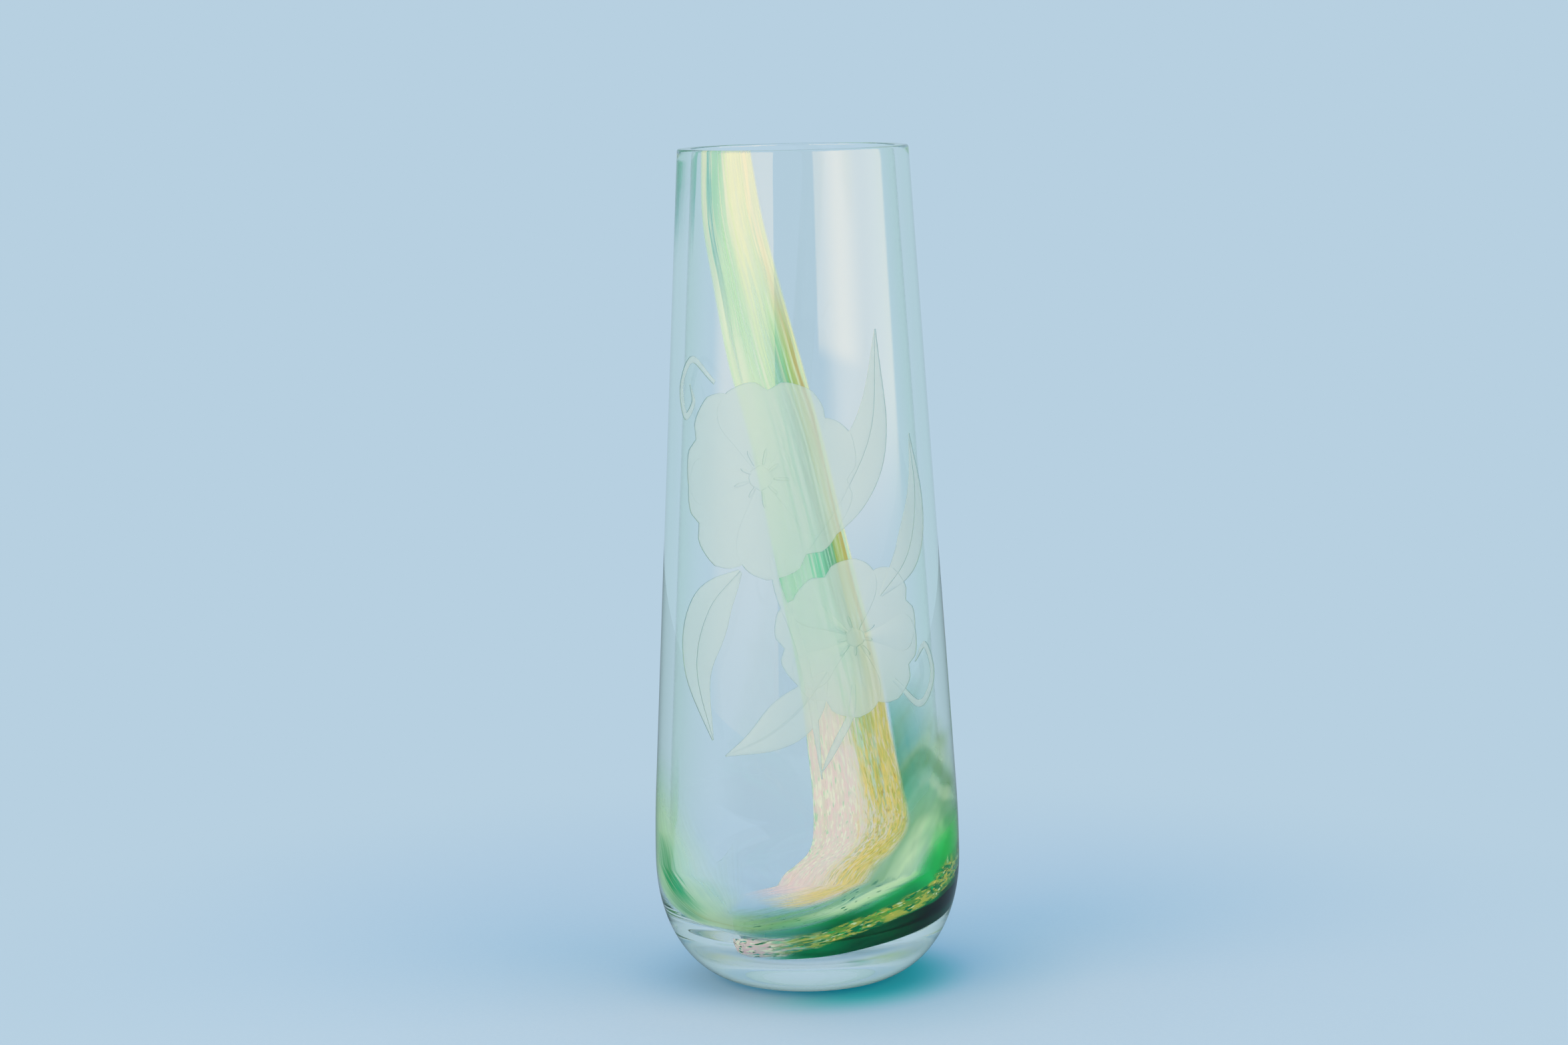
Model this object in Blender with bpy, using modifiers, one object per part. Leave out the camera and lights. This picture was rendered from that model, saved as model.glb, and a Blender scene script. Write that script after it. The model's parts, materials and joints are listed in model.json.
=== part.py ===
"""A tall studio glass vase, blown in two gathers with bits of colour glass caught between them.

It stands on its ground foot, with the axis on Z and the origin at the middle of the foot.
The inner gather holds the hollow, the outer gather cases it, and every ribbon, trail and veil of
colour lies on the inner gather in a groove of its own in the casing. Lengths are in metres.
"""

import math

import bmesh
import bpy

# Outside of the vase
HEIGHT = 0.240
RIM_RADIUS = 0.0328
SHOULDER_RADIUS = 0.0440
SHOULDER_HEIGHT = 0.036
FOOT_RADIUS = 0.018
RIM_BEVEL = 0.0006

# The two gathers
CASING_WALL = 0.0024
LINING_WALL = 0.0014
GATHER_UNDERSIDE = 0.0075
FLOOR_HEIGHT = 0.012

# Colour glass between them
COLOUR_THICKNESS = 0.0009
JOINT_GAP = 0.0003
CUT_OVERRUN = 0.002

# How square each rounded bottom is: 2 is an ellipse, more is squarer
OUTSIDE_ROUNDNESS = 2.1
GATHER_ROUNDNESS = 3.0
HOLLOW_ROUNDNESS = 3.4

# The part of the wall's height over which the shoulder eases into the straight taper
EASE_SHARE = 0.10

# Fineness of the turned and laid-on shapes
TURN_STEPS = 48
BOTTOM_STEPS = 9
EASE_STEPS = 3
LENGTH_STEPS = 22
WIDTH_STEPS = 4

# Levels run from 0 at the inner gather's underside, through 1 at the shoulder, to 2 at the rim.
# Angles are in degrees round the axis from the front, -Y, towards +X.

# The ribbon, from the rim down the front wall to its foot: left and right edge at each station
RIBBON_LEFT_ANGLES = (-54, -52, -44, -34, -23, -15, -9, -3, 0, 2, 2, 0, -5, -10, -17, -23)
RIBBON_RIGHT_ANGLES = (-21, -15, -7, 3, 11, 18, 26, 32, 36, 41, 41, 33, 20, 5, -7, -15)
RIBBON_LEFT_LEVEL_SHARES = (
    2.0, 1.912, 1.824, 1.716, 1.613, 1.50, 1.402, 1.299, 1.211, 1.127, 1.071, 1.046, 1.028, 1.012,
    0.965, 0.895,
)
RIBBON_RIGHT_LEVEL_SHARES = (
    2.0, 1.912, 1.824, 1.711, 1.613, 1.505, 1.387, 1.299, 1.206, 1.123, 1.074, 1.042, 1.005, 0.888,
    0.818, 0.807,
)
# Where its three bands meet, as shares of its width from the left, at its top, middle and foot
GREEN_EDGE_SHARES = (0.42, 0.16, 0.10)
GOLD_EDGE_SHARES = (0.80, 0.62, 0.52)

# The swirl round the base, from its tip on the left to its end at the back
SWIRL_ANGLES = (-33, -29, -15, 7, 26, 50, 66, 85, 110, 135)
DARK_LOW_SHARES = (0.30, 0.235, 0.240, 0.267, 0.323, 0.393, 0.439, 0.509, 0.649, 0.86)
TRAIL_LOW_SHARES = (0.31, 0.245, 0.258, 0.400, 0.516, 0.660, 0.747, 0.877, 1.010, 1.032)
TRAIL_TOP_SHARES = (0.43, 0.475, 0.507, 0.575, 0.684, 0.877, 1.005, 1.025, 1.049, 1.068)
EMERALD_TOP_SHARES = (0.46, 0.495, 0.548, 0.650, 0.807, 1.007, 1.034, 1.056, 1.078, 1.093)
LIME_TOP_SHARES = (0.50, 0.530, 0.590, 0.737, 0.930, 1.037, 1.066, 1.086, 1.108, 1.118)
DARK_START_SHARE = 0.26
VEIL_START_SHARE = 0.20

# The teal veil beside the ribbon's leg, from its top down
TEAL_LEFT_ANGLES = (32, 37, 42, 46, 49, 51)
TEAL_RIGHT_ANGLES = (44, 57, 64, 67, 70, 72)
TEAL_LEFT_LEVEL_SHARES = (1.353, 1.294, 1.235, 1.167, 1.118, 1.083)
TEAL_RIGHT_LEVEL_SHARES = (1.353, 1.294, 1.225, 1.157, 1.118, 1.103)

# The green veil up the left wall, from its top down and along the base
LEFT_VEIL_OUTER_ANGLES = (-96, -98, -96, -88, -70, -52, -38)
LEFT_VEIL_INNER_ANGLES = (-74, -68, -62, -54, -46, -38, -33)
LEFT_VEIL_OUTER_LEVEL_SHARES = (1.176, 1.108, 1.049, 1.0, 0.720, 0.570, 0.540)
LEFT_VEIL_INNER_LEVEL_SHARES = (1.176, 1.108, 1.059, 1.020, 0.912, 0.737, 0.640)


def between(values, share):
    """A smooth curve through evenly spaced values, carried straight on past either end."""
    last = len(values) - 1
    place = share * last
    index = min(max(int(math.floor(place)), 0), last - 1)
    t = place - index
    start, end = values[index], values[index + 1]
    into = (end - values[index - 1]) / 2 if index > 0 else end - start
    out = (values[index + 2] - start) / 2 if index + 2 <= last else end - start
    if t < 0:
        return start + into * t
    if t > 1:
        return end + out * (t - 1)
    cubic = 2 * start - 2 * end + into + out
    square = 3 * end - 3 * start - 2 * into - out
    return start + t * (into + t * (square + t * cubic))


def outside_radius(height):
    """Radius of the outside from the shoulder up: a straight taper that eases out of the shoulder."""
    share = (height - SHOULDER_HEIGHT) / (HEIGHT - SHOULDER_HEIGHT)
    if share < EASE_SHARE:
        taper = share * share / EASE_SHARE / 2
    else:
        taper = share - EASE_SHARE / 2
    return SHOULDER_RADIUS - (SHOULDER_RADIUS - RIM_RADIUS) * taper / (1 - EASE_SHARE / 2)


def rounded_bottom(foot, side, underside, roundness):
    """Points (radius, height) of a rounded bottom, from its foot up to the shoulder."""
    points = []
    for step in range(BOTTOM_STEPS + 1):
        turn = math.pi / 2 * step / BOTTOM_STEPS
        out = math.sin(turn) ** (2 / roundness)
        up = 1 - math.cos(turn) ** (2 / roundness)
        points.append((foot + (side - foot) * out, underside + (SHOULDER_HEIGHT - underside) * up))
    return points


def wall_heights():
    """Heights of the rows above the shoulder: a few through the easing, then the rim."""
    rows = [EASE_SHARE * step / EASE_STEPS for step in range(1, EASE_STEPS + 1)] + [1]
    return [SHOULDER_HEIGHT + (HEIGHT - SHOULDER_HEIGHT) * share for share in rows]


def gather_point(level, lift=0.0):
    """(radius, height) on the inner gather's outside at a level, or above it by lift."""
    side = SHOULDER_RADIUS - CASING_WALL
    depth = SHOULDER_HEIGHT - GATHER_UNDERSIDE
    if level >= 1:
        height = SHOULDER_HEIGHT + (level - 1) * (HEIGHT - SHOULDER_HEIGHT)
        return outside_radius(height) - CASING_WALL + lift, height
    down = 1 - max(level, 0)
    out = (1 - down**GATHER_ROUNDNESS) ** (1 / GATHER_ROUNDNESS)
    across = out ** (GATHER_ROUNDNESS - 1) / side
    along = down ** (GATHER_ROUNDNESS - 1) / depth
    length = math.hypot(across, along)
    radius = side * out + lift * across / length
    return radius, SHOULDER_HEIGHT - depth * down - lift * along / length


def gather_profile(lift):
    """Points (radius, height) along the inner gather's outside, from the axis up to the rim."""
    points = []
    for step in range(BOTTOM_STEPS):
        turn = math.pi / 2 * step / BOTTOM_STEPS
        points.append(gather_point(1 - math.cos(turn) ** (2 / GATHER_ROUNDNESS), lift))
    points.append(gather_point(1, lift))
    return points + [(outside_radius(z) - CASING_WALL + lift, z) for z in wall_heights()]


def turned(name, points, collection):
    """A solid of revolution about Z from a profile that ends by running down its outer side."""
    mesh = bpy.data.meshes.new(name)
    edges = [(i, i + 1) for i in range(len(points) - 1)]
    mesh.from_pydata([(radius, 0, height) for radius, height in points], edges, [])
    piece = bpy.data.objects.new(name, mesh)
    collection.objects.link(piece)
    screw = piece.modifiers.new("Turn", "SCREW")
    screw.steps = TURN_STEPS
    screw.render_steps = TURN_STEPS
    screw.use_merge_vertices = True
    screw.merge_threshold = JOINT_GAP / 100
    screw.use_smooth_shade = True
    return piece


def laid_point(route, along, across, lift):
    """The point of a laid-on strip at shares along and across it, above the inner gather by lift."""
    left_angles, right_angles, left_levels, right_levels = route
    left, right = between(left_angles, along), between(right_angles, along)
    low, high = between(left_levels, along), between(right_levels, along)
    angle = math.radians(left + (right - left) * across)
    radius, height = gather_point(low + (high - low) * across, lift)
    return radius * math.sin(angle), -radius * math.cos(angle), height


def laid_width(route, along):
    return max(math.dist(laid_point(route, along, 0, 0), laid_point(route, along, 1, 0)), JOINT_GAP)


def laid_length(route):
    stops = [laid_point(route, step / LENGTH_STEPS, 0.5, 0) for step in range(LENGTH_STEPS + 1)]
    return sum(math.dist(here, there) for here, there in zip(stops, stops[1:]))


def laid(name, route, collection, lift, thickness, starts=0.0, ends=0.0, side=0.0, band=None, bands=1):
    """A strip of glass on the inner gather. starts, ends and side are how far it runs past the route's
    own outline. band is its left and right edge across the route, as functions of the share along,
    and bands is how many bands it spans.
    """
    length = laid_length(route)
    mesh = bpy.data.meshes.new(name)
    strip = bmesh.new()
    bmesh.ops.create_grid(strip, x_segments=WIDTH_STEPS * bands, y_segments=LENGTH_STEPS, size=1)
    for vert in strip.verts:
        along = (1 - vert.co.y) / 2
        along = along * (1 + (starts + ends) / length) - starts / length
        spare = side / laid_width(route, along)
        left, right = (edge(along) for edge in band) if band else (0, 1)
        left, right = left - spare, right + spare
        across = left + (right - left) * (vert.co.x + 1) / 2
        vert.co = laid_point(route, along, across, lift)
    strip.to_mesh(mesh)
    strip.free()
    mesh.shade_smooth()
    piece = bpy.data.objects.new(name, mesh)
    collection.objects.link(piece)
    shell = piece.modifiers.new("Thickness", "SOLIDIFY")
    shell.thickness = thickness
    shell.offset = 1
    shell.use_even_offset = True
    return piece


def groove(casing, name, route, cutters, bands, starts):
    """Cuts room in the casing for all that lies along a route, from within the pocket outwards."""
    depth = COLOUR_THICKNESS + 2 * JOINT_GAP
    cutter = laid(name, route, cutters, 0.0, depth + CUT_OVERRUN, starts, JOINT_GAP, JOINT_GAP, bands=bands)
    cutter.modifiers["Thickness"].offset = (depth - CUT_OVERRUN) / (depth + CUT_OVERRUN)
    cutter.hide_render = True
    cutter.display_type = "WIRE"
    cut = casing.modifiers.new(name, "BOOLEAN")
    cut.operation = "DIFFERENCE"
    cut.object = cutter


def glass(piece, colour, roughness=0.05, alpha=1.0):
    """Gives the piece a material of its own."""
    material = bpy.data.materials.new(piece.name)
    material.use_nodes = True
    shader = material.node_tree.nodes["Principled BSDF"]
    shader.inputs["Base Color"].default_value = (*colour, 1)
    shader.inputs["Roughness"].default_value = roughness
    shader.inputs["Metallic"].default_value = 0
    shader.inputs["Alpha"].default_value = alpha
    material.diffuse_color = (*colour, alpha)
    piece.data.materials.append(material)


def make_casing(parts):
    """The outer gather: the tapered outside, the thick base and the pocket for the inner gather."""
    pocket = gather_profile(JOINT_GAP)
    outside = rounded_bottom(FOOT_RADIUS, SHOULDER_RADIUS, 0, OUTSIDE_ROUNDNESS)
    walls = [(outside_radius(z), z) for z in wall_heights()[:-1]]
    rim = [(RIM_RADIUS, HEIGHT - RIM_BEVEL), (RIM_RADIUS - RIM_BEVEL, HEIGHT)]
    up_outside = outside + walls + rim
    piece = turned("clear_casing", pocket + up_outside[::-1] + [(0, 0)], parts)
    glass(piece, (0.86, 0.94, 0.95), alpha=0.35)
    return piece


def make_lining(parts):
    """The inner gather: a cup whose hollow has a nearly flat floor."""
    wall = CASING_WALL + JOINT_GAP + LINING_WALL
    side = SHOULDER_RADIUS - wall
    hollow = rounded_bottom(0, side, FLOOR_HEIGHT, HOLLOW_ROUNDNESS)
    hollow += [(outside_radius(z) - wall, z) for z in wall_heights()[:-1]]
    mouth = RIM_RADIUS - wall
    hollow += [(mouth, HEIGHT - RIM_BEVEL), (mouth + RIM_BEVEL, HEIGHT)]
    piece = turned("inner_lining", hollow + gather_profile(0.0)[::-1], parts)
    glass(piece, (0.88, 0.95, 0.95), alpha=0.35)
    return piece


def make_ribbon(parts, casing, cutters):
    """Three bands side by side, from the rim down the front wall to a foot that turns left."""
    route = (
        RIBBON_LEFT_ANGLES,
        RIBBON_RIGHT_ANGLES,
        RIBBON_LEFT_LEVEL_SHARES,
        RIBBON_RIGHT_LEVEL_SHARES,
    )
    edges = (
        lambda along: 0,
        lambda along: between(GREEN_EDGE_SHARES, along),
        lambda along: between(GOLD_EDGE_SHARES, along),
        lambda along: 1,
    )
    bands = (
        ("ribbon_green_band", (0.33, 0.62, 0.45)),
        ("ribbon_cream_band", (0.80, 0.78, 0.62)),
        ("ribbon_gold_band", (0.85, 0.68, 0.25)),
    )
    for number, (name, colour) in enumerate(bands):
        band = edges[number : number + 2]
        piece = laid(
            name, route, parts, JOINT_GAP, COLOUR_THICKNESS, -JOINT_GAP, 0.0, -JOINT_GAP / 2, band
        )
        glass(piece, colour)
    groove(casing, "ribbon_groove", route, cutters, len(bands), CUT_OVERRUN)


def make_swirl(parts, casing, cutters):
    """The speckled trail round the base, the dark band under it and the two veils above it."""
    route = (SWIRL_ANGLES, SWIRL_ANGLES, DARK_LOW_SHARES, LIME_TOP_SHARES)

    def across(levels):
        """The share across the swirl, from its low edge up, at which a row of levels lies."""

        def edge(along):
            low, top = between(DARK_LOW_SHARES, along), between(LIME_TOP_SHARES, along)
            return (between(levels, along) - low) / (top - low)

        return edge

    rows = (
        ("dark_green_band", DARK_LOW_SHARES, TRAIL_LOW_SHARES, DARK_START_SHARE, (0.01, 0.10, 0.07)),
        ("frit_trail", TRAIL_LOW_SHARES, TRAIL_TOP_SHARES, 0.0, (0.62, 0.52, 0.25)),
        ("emerald_veil", TRAIL_TOP_SHARES, EMERALD_TOP_SHARES, VEIL_START_SHARE, (0.05, 0.55, 0.25)),
        ("lime_veil", EMERALD_TOP_SHARES, LIME_TOP_SHARES, VEIL_START_SHARE, (0.60, 0.80, 0.50)),
    )
    length = laid_length(route)
    for name, low, top, start, colour in rows:
        piece = laid(
            name, route, parts, JOINT_GAP, COLOUR_THICKNESS, -start * length, 0.0, -JOINT_GAP / 2,
            (across(low), across(top)),
        )
        glass(piece, colour)
    groove(casing, "swirl_groove", route, cutters, len(rows), JOINT_GAP)


def make_veils(parts, casing, cutters):
    """The teal veil beside the ribbon's leg and the green veil up the left wall."""
    teal = (
        TEAL_LEFT_ANGLES,
        TEAL_RIGHT_ANGLES,
        TEAL_LEFT_LEVEL_SHARES,
        TEAL_RIGHT_LEVEL_SHARES,
    )
    left = (
        LEFT_VEIL_OUTER_ANGLES,
        LEFT_VEIL_INNER_ANGLES,
        LEFT_VEIL_OUTER_LEVEL_SHARES,
        LEFT_VEIL_INNER_LEVEL_SHARES,
    )
    for name, route, colour in (
        ("teal_veil", teal, (0.20, 0.55, 0.50)),
        ("left_green_veil", left, (0.35, 0.70, 0.42)),
    ):
        piece = laid(name, route, parts, JOINT_GAP, COLOUR_THICKNESS)
        glass(piece, colour)
        groove(casing, name + "_groove", route, cutters, 1, JOINT_GAP)


def main():
    for item in list(bpy.data.objects):
        bpy.data.objects.remove(item)
    parts = bpy.data.collections.new("glass_vase")
    cutters = bpy.data.collections.new("cutters")
    for collection in (parts, cutters):
        bpy.context.scene.collection.children.link(collection)
    casing = make_casing(parts)
    make_lining(parts)
    make_ribbon(parts, casing, cutters)
    make_swirl(parts, casing, cutters)
    make_veils(parts, casing, cutters)
    print("ok")


main()
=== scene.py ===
"""The looks of a tall studio glass vase: clear cased glass with colour laid in its wall.

The clear body is one continuous piece of glass, as the two gathers are once they have fused. The
colour lies inside it as thin lenses of glass on the inner gather, and a spray of flowers is engraved
in its front, frosted. Lengths are in metres and screen colours are 0 to 255.
"""

import json
import math

import bmesh
import bpy
from mathutils import Matrix, Vector

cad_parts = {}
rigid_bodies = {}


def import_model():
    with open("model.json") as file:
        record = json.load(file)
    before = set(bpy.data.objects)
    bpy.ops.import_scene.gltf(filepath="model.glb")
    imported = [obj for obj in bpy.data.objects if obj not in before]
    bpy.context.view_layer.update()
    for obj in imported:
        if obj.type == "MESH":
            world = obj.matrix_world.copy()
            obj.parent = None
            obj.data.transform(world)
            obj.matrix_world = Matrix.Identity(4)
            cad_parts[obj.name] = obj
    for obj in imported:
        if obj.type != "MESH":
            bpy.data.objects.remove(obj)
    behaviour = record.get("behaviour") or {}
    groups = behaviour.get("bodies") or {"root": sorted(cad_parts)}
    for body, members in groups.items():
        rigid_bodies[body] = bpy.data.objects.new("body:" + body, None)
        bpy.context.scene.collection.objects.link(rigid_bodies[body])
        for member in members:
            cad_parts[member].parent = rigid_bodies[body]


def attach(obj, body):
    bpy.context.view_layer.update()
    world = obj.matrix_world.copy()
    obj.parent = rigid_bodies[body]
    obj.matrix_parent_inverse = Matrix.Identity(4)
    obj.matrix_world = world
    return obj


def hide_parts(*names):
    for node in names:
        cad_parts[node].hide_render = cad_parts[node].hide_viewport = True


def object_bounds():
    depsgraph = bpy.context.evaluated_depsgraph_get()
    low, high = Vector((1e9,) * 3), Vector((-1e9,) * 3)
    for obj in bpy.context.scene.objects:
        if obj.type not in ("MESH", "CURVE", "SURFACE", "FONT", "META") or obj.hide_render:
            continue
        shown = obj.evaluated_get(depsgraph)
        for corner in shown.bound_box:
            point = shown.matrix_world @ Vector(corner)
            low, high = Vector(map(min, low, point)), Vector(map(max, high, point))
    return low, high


for startup_object in list(bpy.data.objects):
    bpy.data.objects.remove(startup_object)
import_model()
CAD_LOW, CAD_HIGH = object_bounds()

bl_info = {
    "name": "Studio Glass Vase",
    "version": (1, 0, 0),
    "blender": (4, 5, 0),
    "location": "3D View > Sidebar > Glass Vase",
    "description": "Builds a blown glass vase with cased colour and an engraved flower spray",
    "category": "Add Mesh",
}

BODY = "root"
TURN = 2 * math.pi
MM = 0.001

# Clear glass: its index, its ripple, and the heights over which the foot is ground and shades the cloth
GLASS_INDEX = 1.5
RIPPLE_STRENGTH = 0.04
GROUND_ROUGHNESS = 0.3
GROUND_HEIGHTS = (0.004, 0.001)
BASE_SHADOW_HEIGHTS = (0.015, 0.004)

# Laid colour glass is fused into the clear, so light goes straight on where it enters
LAID_THICKNESS = 0.2 * MM
LAID_ROUGHNESS = 0.4
FUSED_INDEX = 1.0
# The softness of an edge that a seam or a fade of its own hides
HARD = 0.001

# Shares that shape the body, as in the solids
FOOT_RADIUS = 0.018
OUTSIDE_ROUNDNESS = 2.1
GATHER_ROUNDNESS = 3.0
HOLLOW_ROUNDNESS = 3.4
EASE_SHARE = 0.10

# Colour glasses, by the names that a glassworker would use
CREAM = (244, 242, 222)
STRAW = (244, 238, 176)
PEACH = (250, 230, 184)
PEARL = (228, 216, 206)
ROSE = (238, 204, 208)
PALE_LIME = (228, 248, 210)
MINT = (186, 240, 206)
SAGE = (160, 214, 176)
SEA_GREEN = (104, 206, 156)
BOTTLE_GREEN = (60, 160, 104)
OLIVE = (176, 184, 84)
MOSS = (104, 160, 66)
GOLD = (236, 208, 112)
OCHRE = (186, 150, 50)
TEAL = (70, 176, 158)
EMERALD = (0, 176, 98)
JADE = (40, 214, 112)
DEEP_GREEN = (3, 120, 72)
INK_GREEN = (3, 58, 36)
NIGHT_GREEN = (2, 30, 20)
LIME = (212, 238, 190)
FERN = (134, 180, 118)
BUTTER = (230, 228, 180)
CELERY = (206, 228, 186)
SEAFOAM = (172, 220, 190)

# Painted light and shade: teal mixed into the cloth's colour for the light that the green glass throws on the
# cloth, near the foot and further out
PAINTED_TEAL_LIGHT = (0, 182, 196)
PAINTED_TEAL_SHADE = (120, 184, 220)

# The ribbon's outline, top to foot: angles in degrees from the front and levels as in the solids
RIBBON_LEFT_ANGLES = (-54, -52, -44, -34, -23, -15, -9, -3, 0, 2, 2, 0, -5, -10, -18, -32)
RIBBON_RIGHT_ANGLES = (-21, -15, -7, 3, 11, 18, 26, 32, 36, 41, 41, 33, 20, 5, -9, -22)
RIBBON_LEFT_LEVEL_SHARES = (
    2.0, 1.912, 1.824, 1.716, 1.613, 1.50, 1.402, 1.299, 1.211, 1.127, 1.071, 1.046, 1.028, 1.012,
    0.955, 0.85,
)
RIBBON_RIGHT_LEVEL_SHARES = (
    2.0, 1.912, 1.824, 1.711, 1.613, 1.505, 1.387, 1.299, 1.206, 1.123, 1.074, 1.042, 1.005, 0.888,
    0.818, 0.807,
)
GREEN_EDGE_SHARES = (0.42, 0.16, 0.10)
GOLD_EDGE_SHARES = (0.80, 0.62, 0.52)

# The swirl round the base
SWIRL_ANGLES = (-33, -29, -15, 7, 26, 50, 66, 85, 110, 135)
DARK_LOW_SHARES = (0.30, 0.235, 0.240, 0.267, 0.323, 0.393, 0.439, 0.509, 0.649, 0.86)
TRAIL_LOW_SHARES = (0.31, 0.245, 0.258, 0.400, 0.516, 0.660, 0.747, 0.877, 1.010, 1.032)
TRAIL_TOP_SHARES = (0.43, 0.475, 0.507, 0.575, 0.684, 0.877, 1.005, 1.025, 1.049, 1.068)
EMERALD_TOP_SHARES = (0.46, 0.495, 0.548, 0.650, 0.807, 1.007, 1.034, 1.056, 1.078, 1.093)
LIME_TOP_SHARES = (0.50, 0.530, 0.590, 0.737, 0.930, 1.037, 1.066, 1.086, 1.108, 1.118)

# The two side veils
TEAL_LEFT_ANGLES = (32, 37, 42, 46, 49, 51, 52)
TEAL_RIGHT_ANGLES = (44, 57, 64, 67, 70, 72, 74)
TEAL_LEFT_LEVEL_SHARES = (1.353, 1.294, 1.235, 1.167, 1.118, 1.083, 1.04)
TEAL_RIGHT_LEVEL_SHARES = (1.353, 1.294, 1.225, 1.157, 1.118, 1.103, 1.08)
LEFT_VEIL_OUTER_ANGLES = (-96, -98, -96, -88, -70, -52, -38, -24, -10)
LEFT_VEIL_INNER_ANGLES = (-74, -68, -62, -54, -46, -38, -33, -20, -8)
LEFT_VEIL_OUTER_LEVEL_SHARES = (1.176, 1.108, 1.049, 1.0, 0.720, 0.570, 0.540, 0.520, 0.510)
LEFT_VEIL_INNER_LEVEL_SHARES = (1.176, 1.108, 1.059, 1.020, 0.912, 0.737, 0.640, 0.620, 0.620)


def between(values, share):
    """A smooth curve through evenly spaced values, carried straight on past either end."""
    last = len(values) - 1
    index = min(max(int(math.floor(share * last)), 0), last - 1)
    t = share * last - index
    start, end = values[index], values[index + 1]
    into = (end - values[index - 1]) / 2 if index > 0 else end - start
    out = (values[index + 2] - start) / 2 if index + 2 <= last else end - start
    if t < 0:
        return start + into * t
    if t > 1:
        return end + out * (t - 1)
    cubic = 2 * start - 2 * end + into + out
    square = 3 * end - 3 * start - 2 * into - out
    return start + t * (into + t * (square + t * cubic))


def screen(colour):
    """The linear value of a screen colour, with an alpha of 1."""
    shares = [value / 255 for value in colour]
    return tuple(s / 12.92 if s <= 0.04045 else ((s + 0.055) / 1.055) ** 2.4 for s in shares) + (1,)


def outside_radius(height):
    """Radius of the outside from the shoulder up: a straight taper that eases out of the shoulder."""
    vase = bpy.context.scene.vase_body
    share = (height - vase.shoulder_height) / (vase.height - vase.shoulder_height)
    if share < EASE_SHARE:
        taper = share * share / EASE_SHARE / 2
    else:
        taper = share - EASE_SHARE / 2
    return vase.shoulder_radius - (vase.shoulder_radius - vase.rim_radius) * taper / (1 - EASE_SHARE / 2)


def outside_slope(height):
    """How fast the outside widens with height, from the shoulder up."""
    step = MM / 10
    return (outside_radius(height + step) - outside_radius(height - step)) / (2 * step)


def rounded_bottom(foot, side, underside, roundness, steps):
    """Points (radius, height) of a rounded bottom, from its foot up to the shoulder."""
    shoulder = bpy.context.scene.vase_body.shoulder_height
    points = []
    for step in range(steps + 1):
        turn = math.pi / 2 * step / steps
        out = math.sin(turn) ** (2 / roundness)
        up = 1 - math.cos(turn) ** (2 / roundness)
        points.append((foot + (side - foot) * out, underside + (shoulder - underside) * up))
    return points


def gather_point(level, lift):
    """(radius, height) at a level on the inner gather's outside, or above it by lift."""
    vase = bpy.context.scene.vase_body
    side = vase.shoulder_radius - vase.casing_wall
    depth = vase.shoulder_height - vase.gather_underside
    if level >= 1:
        height = vase.shoulder_height + (level - 1) * (vase.height - vase.shoulder_height)
        return outside_radius(height) - vase.casing_wall + lift, height
    down = 1 - max(level, 0)
    out = (1 - down**GATHER_ROUNDNESS) ** (1 / GATHER_ROUNDNESS)
    across = out ** (GATHER_ROUNDNESS - 1) / side
    along = down ** (GATHER_ROUNDNESS - 1) / depth
    length = math.hypot(across, along)
    radius = side * out + lift * across / length
    return radius, vase.shoulder_height - depth * down - lift * along / length


def place(angle, radius, height):
    """A point at an angle in radians from the front, towards +X."""
    return Vector((radius * math.sin(angle), -radius * math.cos(angle), height))


def new_object(name, data, material=None):
    piece = bpy.data.objects.new(name, data)
    bpy.context.scene.collection.objects.link(piece)
    if material:
        data.materials.append(material)
    return piece


def mesh_from(name, shape):
    """Turns a bmesh into a smooth-shaded mesh and frees it."""
    mesh = bpy.data.meshes.new(name)
    shape.to_mesh(mesh)
    shape.free()
    mesh.shade_smooth()
    return mesh


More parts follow.
